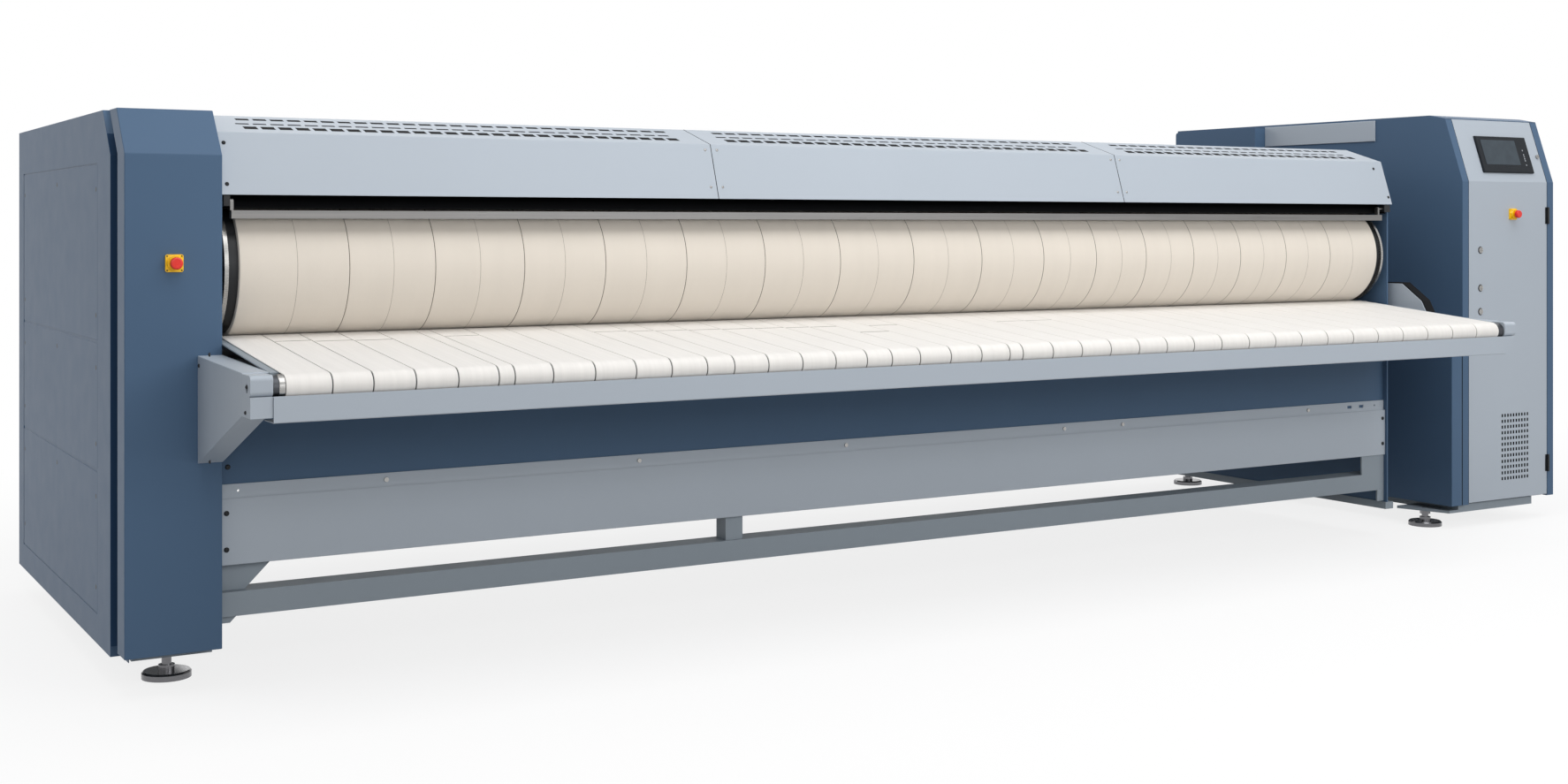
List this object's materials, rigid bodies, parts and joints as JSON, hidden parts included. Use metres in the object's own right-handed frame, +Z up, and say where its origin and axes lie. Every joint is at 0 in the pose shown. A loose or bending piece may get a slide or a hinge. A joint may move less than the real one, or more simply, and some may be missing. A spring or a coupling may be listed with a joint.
{
  "type": "flatwork ironer",
  "caption": "Flatwork ironer: a long padded roll in a heated chest, fed by a table of narrow belts, between a drive cabinet and a taller control cabinet on levelling feet.",
  "frame": {"origin": "middle of the machine's footprint, on the floor", "axes": "+X along the roll towards the control cabinet, +Y from the feeding side to the back, +Z up"},
  "size_m": [5.284, 2.073, 1.541],
  "materials": {
    "cabinet_blue": "fine satin powder coat",
    "panel_grey": "satin powder coat",
    "frame_grey": "satin paint",
    "stainless": "brushed along its length",
    "machined_steel": "turned and ground",
    "dark_steel": "semi-gloss black paint",
    "cast_housing": "painted casting",
    "fan_aluminium": "plain sheet",
    "roll_cloth": "tightly woven heat-resistant cloth",
    "belt_cloth": "smooth woven belting",
    "black_plastic": "fine grain",
    "yellow_plastic": "moulded",
    "red_plastic": "moulded"
  },
  "bodies": {
    "frame": {"chest_jacket": "frame_grey", "cross_panel": "panel_grey", "delivery_chute": "stainless", "door_hinge_bases": "dark_steel", "drive_chain": "machined_steel", "drive_gearmotor": "cast_housing", "duct_cover_plate": "panel_grey", "electrical_gear": "black_plastic", "estop_housing_left": "yellow_plastic", "fan_housing": "frame_grey", "feed_belts": "belt_cloth", "guard_brackets": "dark_steel", "heated_chest": "machined_steel", "heating_elements": "machined_steel", "hood_liner": "dark_steel", "hood_panels": "panel_grey", "left_base_frame": "frame_grey", "left_end_wall": "cabinet_blue", "left_front_cover": "cabinet_blue", "left_side_casing": "cabinet_blue", "left_side_panels": "cabinet_blue", "levelling_feet": "stainless", "lower_beams": "frame_grey", "lower_front_panel": "cabinet_blue", "panel_screws": "stainless", "rear_cover": "cabinet_blue", "rear_duct_box": "cabinet_blue", "recess_panel": "cabinet_blue", "right_base_frame": "frame_grey", "right_end_wall": "cabinet_blue", "right_inner_side": "cabinet_blue", "right_outer_side": "cabinet_blue", "right_top_cover": "cabinet_blue", "roll_bearings": "cast_housing", "side_panel_locks": "dark_steel", "side_seal_plate": "dark_steel", "stripper_bar": "machined_steel", "table_bed": "frame_grey", "table_brackets": "panel_grey", "table_end_blocks": "panel_grey", "table_fascia": "panel_grey"},
    "roll": {"roll_drum": "dark_steel", "roll_cover": "roll_cloth", "roll_end_rings": "stainless", "roll_sprocket": "machined_steel"},
    "motor_shaft": {"motor_sprocket": "machined_steel"},
    "front_roller": {"front_feed_roller": "dark_steel"},
    "rear_roller": {"rear_feed_roller": "machined_steel"},
    "fan": {"fan_impeller": "fan_aluminium"},
    "guard": {"guard_bar": "stainless"},
    "door": {"control_door": "panel_grey", "touch_panel": "black_plastic", "door_hinge_leaves": "dark_steel", "estop_housing_right": "yellow_plastic"},
    "latch_low": {"door_latch_1": "stainless"},
    "latch_middle": {"door_latch_2": "stainless"},
    "latch_high": {"door_latch_3": "stainless"},
    "key": {"key_switch": "stainless"},
    "stop_left": {"estop_button_left": "red_plastic"},
    "stop_right": {"estop_button_right": "red_plastic"}
  },
  "joints": [
    {"name": "roll_spin", "type": "hinge", "parent": "frame", "child": "roll", "pos_m": [-0.337, -0.3715, 1.019], "axis": [1, 0, 0], "continuous": true},
    {"name": "motor_spin", "type": "hinge", "parent": "frame", "child": "motor_shaft", "pos_m": [-2.461, -0.0865, 0.282], "axis": [1, 0, 0], "continuous": true},
    {"name": "front_roller_spin", "type": "hinge", "parent": "frame", "child": "front_roller", "pos_m": [-0.337, -1.003, 0.7685], "axis": [1, 0, 0], "continuous": true},
    {"name": "rear_roller_spin", "type": "hinge", "parent": "frame", "child": "rear_roller", "pos_m": [-0.337, -0.4385, 0.8225], "axis": [1, 0, 0], "continuous": true},
    {"name": "fan_spin", "type": "hinge", "parent": "frame", "child": "fan", "pos_m": [1.821, 0.2435, 1.15], "axis": [1, 0, 0], "continuous": true},
    {"name": "guard_swing", "type": "hinge", "parent": "frame", "child": "guard", "pos_m": [-0.337, -0.5325, 1.185], "axis": [1, 0, 0], "range_deg": [0, 8]},
    {"name": "door_swing", "type": "hinge", "parent": "frame", "child": "door", "pos_m": [2.605, -0.562, 0.7], "axis": [0, 0, 1], "range_deg": [0, 110]},
    {"name": "latch_low_turn", "type": "hinge", "parent": "door", "child": "latch_low", "pos_m": [2.215, -0.5565, 0.803], "axis": [0, -1, 0], "range_deg": [0, 90]},
    {"name": "latch_middle_turn", "type": "hinge", "parent": "door", "child": "latch_middle", "pos_m": [2.215, -0.5565, 0.891], "axis": [0, -1, 0], "range_deg": [0, 90]},
    {"name": "latch_high_turn", "type": "hinge", "parent": "door", "child": "latch_high", "pos_m": [2.215, -0.5565, 1.033], "axis": [0, -1, 0], "range_deg": [0, 90]},
    {"name": "key_turn", "type": "hinge", "parent": "door", "child": "key", "pos_m": [2.586, -0.52361, 1.38866], "axis": [0, -0.9487, 0.3162], "range_deg": [0, 90]},
    {"name": "stop_left_push", "type": "slide", "parent": "frame", "child": "stop_left", "axis": [0, 1, 0], "range_m": [0, 0.005], "stiffness_N_per_m": 800},
    {"name": "stop_right_push", "type": "slide", "parent": "door", "child": "stop_right", "axis": [0, 1, 0], "range_m": [0, 0.005], "stiffness_N_per_m": 800}
  ],
  "couplings": [
    {"joint": "motor_spin", "follows": "roll_spin", "ratio": 2},
    {"joint": "front_roller_spin", "follows": "roll_spin", "ratio": -5.9322},
    {"joint": "rear_roller_spin", "follows": "roll_spin", "ratio": -5.9322}
  ]
}
